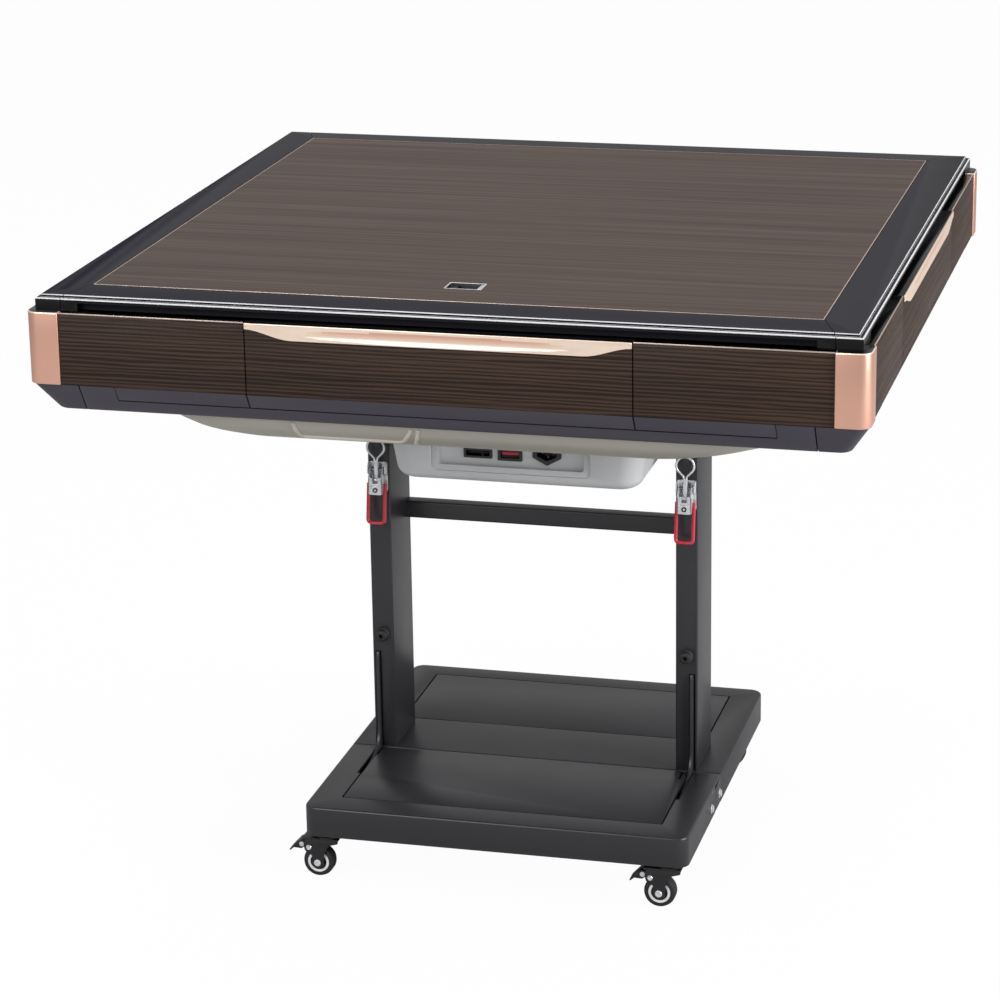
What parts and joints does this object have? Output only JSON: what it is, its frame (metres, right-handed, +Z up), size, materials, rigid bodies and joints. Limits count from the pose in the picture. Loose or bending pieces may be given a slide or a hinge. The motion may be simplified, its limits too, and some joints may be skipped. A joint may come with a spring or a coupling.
{
  "type": "automatic mahjong table",
  "caption": "Square automatic mahjong table with a lift-off cover, side drawers and a tub of machinery, tilting on a two-column wheeled folding base.",
  "frame": {"origin": "on the floor under the middle of the table top", "axes": "+X right, +Y back, +Z up; the side with the control panel faces -Y"},
  "size_m": [0.96, 0.96, 0.785],
  "materials": {
    "black_plastic": "black moulded",
    "black_satin": "satin black frame",
    "board": "green circuit board",
    "clear": "clear moulded",
    "dark_wood": "dark brown foil with fine grain",
    "felt": "short green cloth on a rigid board",
    "grey_plastic": "light grey moulded",
    "powder_black": "fine powder coat",
    "red_plastic": "red moulded",
    "rose_gold": "satin rose gold anodised",
    "rubber": "black rubber",
    "slate_plastic": "dark grey moulded",
    "steel": "plain sheet steel",
    "tyre": "black tread, white centre",
    "zinc": "bright zinc"
  },
  "bodies": {
    "stand": {"base_rear": "powder_black", "column_left": "powder_black", "column_right": "powder_black", "crossbar": "powder_black", "column_braces": "powder_black", "column_bumpers": "rubber", "tilt_brackets": "powder_black", "latch_brackets": "zinc", "rear_hinge_bolts": "zinc"},
    "base_front": {"base_front": "powder_black", "front_hinge_bolts": "zinc"},
    "machine": {"frame_rails": "black_satin", "corner_trims": "rose_gold", "side_panels": "dark_wood", "skirt": "slate_plastic", "bottom_dish": "grey_plastic", "machine_tub": "grey_plastic", "control_panel": "grey_plastic", "panel_fittings": "black_plastic", "hangers_and_keepers": "steel", "playing_surface": "felt", "centre_console": "black_plastic", "dice_dome": "clear", "machine_frame": "steel", "drum_motor": "steel", "tile_conveyors": "black_plastic", "circuit_board": "board"},
    "cover": {"cover_board": "dark_wood", "cover_pull": "black_plastic"},
    "tile_lifts": {"tile_lifts": "felt"},
    "shuffle_drum": {"shuffle_drum": "grey_plastic"},
    "power_switch": {"power_switch": "red_plastic"},
    "latch_lever_left": {"latch_lever_left": "zinc"},
    "latch_lever_right": {"latch_lever_right": "zinc"},
    "latch_link_left": {"latch_link_left": "zinc"},
    "latch_link_right": {"latch_link_right": "zinc"},
    "drawer_front": {"drawer_front": "dark_wood", "drawer_pull_front": "rose_gold"},
    "drawer_right": {"drawer_right": "dark_wood", "drawer_pull_right": "rose_gold"},
    "drawer_back": {"drawer_back": "dark_wood", "drawer_pull_back": "rose_gold"},
    "drawer_left": {"drawer_left": "dark_wood", "drawer_pull_left": "rose_gold"},
    "caster_fork_front_left": {"caster_fork_front_left": "powder_black"},
    "caster_wheel_front_left": {"caster_wheel_front_left": "tyre"},
    "caster_pedal_front_left": {"caster_pedal_front_left": "powder_black"},
    "caster_fork_middle_left": {"caster_fork_middle_left": "powder_black"},
    "caster_wheel_middle_left": {"caster_wheel_middle_left": "tyre"},
    "caster_fork_rear_left": {"caster_fork_rear_left": "powder_black"},
    "caster_wheel_rear_left": {"caster_wheel_rear_left": "tyre"},
    "caster_pedal_rear_left": {"caster_pedal_rear_left": "powder_black"},
    "caster_fork_front_right": {"caster_fork_front_right": "powder_black"},
    "caster_wheel_front_right": {"caster_wheel_front_right": "tyre"},
    "caster_pedal_front_right": {"caster_pedal_front_right": "powder_black"},
    "caster_fork_middle_right": {"caster_fork_middle_right": "powder_black"},
    "caster_wheel_middle_right": {"caster_wheel_middle_right": "tyre"},
    "caster_fork_rear_right": {"caster_fork_rear_right": "powder_black"},
    "caster_wheel_rear_right": {"caster_wheel_rear_right": "tyre"},
    "caster_pedal_rear_right": {"caster_pedal_rear_right": "powder_black"}
  },
  "joints": [
    {"name": "table_tilt", "type": "hinge", "parent": "stand", "child": "machine", "pos_m": [0, 0.065, 0.522], "axis": [-1, 0, 0], "range_deg": [0, 90]},
    {"name": "base_fold", "type": "hinge", "parent": "stand", "child": "base_front", "pos_m": [0, -0.057, 0.098], "axis": [-1, 0, 0], "range_deg": [0, 86]},
    {"name": "cover_lift", "type": "slide", "parent": "machine", "child": "cover", "axis": [0, 0, 1], "range_m": [0, 0.3]},
    {"name": "lifts_lower", "type": "slide", "parent": "machine", "child": "tile_lifts", "axis": [0, 0, 1], "range_m": [-0.04, 0]},
    {"name": "drum_spin", "type": "hinge", "parent": "machine", "child": "shuffle_drum", "pos_m": [0, 0, 0.66], "axis": [0, 0, 1], "continuous": true},
    {"name": "power_rocker", "type": "hinge", "parent": "machine", "child": "power_switch", "pos_m": [-0.007, -0.1285, 0.521], "axis": [1, 0, 0], "range_deg": [0, 12]},
    {"name": "latch_left", "type": "hinge", "parent": "stand", "child": "latch_lever_left", "pos_m": [-0.196, -0.062, 0.47], "axis": [-1, 0, 0], "range_deg": [0, 100]},
    {"name": "latch_link_left", "type": "hinge", "parent": "latch_lever_left", "child": "latch_link_left", "pos_m": [-0.196, -0.066, 0.458], "axis": [-1, 0, 0], "range_deg": [-100, 0]},
    {"name": "latch_right", "type": "hinge", "parent": "stand", "child": "latch_lever_right", "pos_m": [0.196, -0.062, 0.47], "axis": [-1, 0, 0], "range_deg": [0, 100]},
    {"name": "latch_link_right", "type": "hinge", "parent": "latch_lever_right", "child": "latch_link_right", "pos_m": [0.196, -0.066, 0.458], "axis": [-1, 0, 0], "range_deg": [-100, 0]},
    {"name": "drawer_front_slide", "type": "slide", "parent": "machine", "child": "drawer_front", "axis": [0, -1, 0], "range_m": [0, 0.075]},
    {"name": "drawer_right_slide", "type": "slide", "parent": "machine", "child": "drawer_right", "axis": [1, 0, 0], "range_m": [0, 0.075]},
    {"name": "drawer_back_slide", "type": "slide", "parent": "machine", "child": "drawer_back", "axis": [0, -1, 0], "range_m": [-0.075, 0]},
    {"name": "drawer_left_slide", "type": "slide", "parent": "machine", "child": "drawer_left", "axis": [-1, 0, 0], "range_m": [0, 0.075]},
    {"name": "swivel_front_left", "type": "hinge", "parent": "base_front", "child": "caster_fork_front_left", "pos_m": [-0.215, -0.247, 0.055], "axis": [0, 0, 1], "continuous": true},
    {"name": "roll_front_left", "type": "hinge", "parent": "caster_fork_front_left", "child": "caster_wheel_front_left", "pos_m": [-0.227, -0.247, 0.0195], "axis": [0, 1, 0], "continuous": true},
    {"name": "brake_front_left", "type": "hinge", "parent": "caster_fork_front_left", "child": "caster_pedal_front_left", "pos_m": [-0.244, -0.247, 0.042], "axis": [0, 1, 0], "range_deg": [-15, 0]},
    {"name": "swivel_middle_left", "type": "hinge", "parent": "stand", "child": "caster_fork_middle_left", "pos_m": [-0.203, -0.105, 0.055], "axis": [0, 0, 1], "continuous": true},
    {"name": "roll_middle_left", "type": "hinge", "parent": "caster_fork_middle_left", "child": "caster_wheel_middle_left", "pos_m": [-0.215, -0.105, 0.0195], "axis": [0, 1, 0], "continuous": true},
    {"name": "swivel_rear_left", "type": "hinge", "parent": "stand", "child": "caster_fork_rear_left", "pos_m": [-0.215, 0.215, 0.055], "axis": [0, 0, 1], "continuous": true},
    {"name": "roll_rear_left", "type": "hinge", "parent": "caster_fork_rear_left", "child": "caster_wheel_rear_left", "pos_m": [-0.227, 0.215, 0.0195], "axis": [0, 1, 0], "continuous": true},
    {"name": "brake_rear_left", "type": "hinge", "parent": "caster_fork_rear_left", "child": "caster_pedal_rear_left", "pos_m": [-0.244, 0.215, 0.042], "axis": [0, 1, 0], "range_deg": [-15, 0]},
    {"name": "swivel_front_right", "type": "hinge", "parent": "base_front", "child": "caster_fork_front_right", "pos_m": [0.215, -0.247, 0.055], "axis": [0, 0, 1], "continuous": true},
    {"name": "roll_front_right", "type": "hinge", "parent": "caster_fork_front_right", "child": "caster_wheel_front_right", "pos_m": [0.203, -0.247, 0.0195], "axis": [0, 1, 0], "continuous": true},
    {"name": "brake_front_right", "type": "hinge", "parent": "caster_fork_front_right", "child": "caster_pedal_front_right", "pos_m": [0.186, -0.247, 0.042], "axis": [0, 1, 0], "range_deg": [-15, 0]},
    {"name": "swivel_middle_right", "type": "hinge", "parent": "stand", "child": "caster_fork_middle_right", "pos_m": [0.203, -0.105, 0.055], "axis": [0, 0, 1], "continuous": true},
    {"name": "roll_middle_right", "type": "hinge", "parent": "caster_fork_middle_right", "child": "caster_wheel_middle_right", "pos_m": [0.191, -0.105, 0.0195], "axis": [0, 1, 0], "continuous": true},
    {"name": "swivel_rear_right", "type": "hinge", "parent": "stand", "child": "caster_fork_rear_right", "pos_m": [0.215, 0.215, 0.055], "axis": [0, 0, 1], "continuous": true},
    {"name": "roll_rear_right", "type": "hinge", "parent": "caster_fork_rear_right", "child": "caster_wheel_rear_right", "pos_m": [0.203, 0.215, 0.0195], "axis": [0, 1, 0], "continuous": true},
    {"name": "brake_rear_right", "type": "hinge", "parent": "caster_fork_rear_right", "child": "caster_pedal_rear_right", "pos_m": [0.186, 0.215, 0.042], "axis": [0, 1, 0], "range_deg": [-15, 0]}
  ],
  "couplings": [
    {"joint": "latch_link_left", "follows": "latch_left", "ratio": -1},
    {"joint": "latch_link_right", "follows": "latch_right", "ratio": -1}
  ]
}
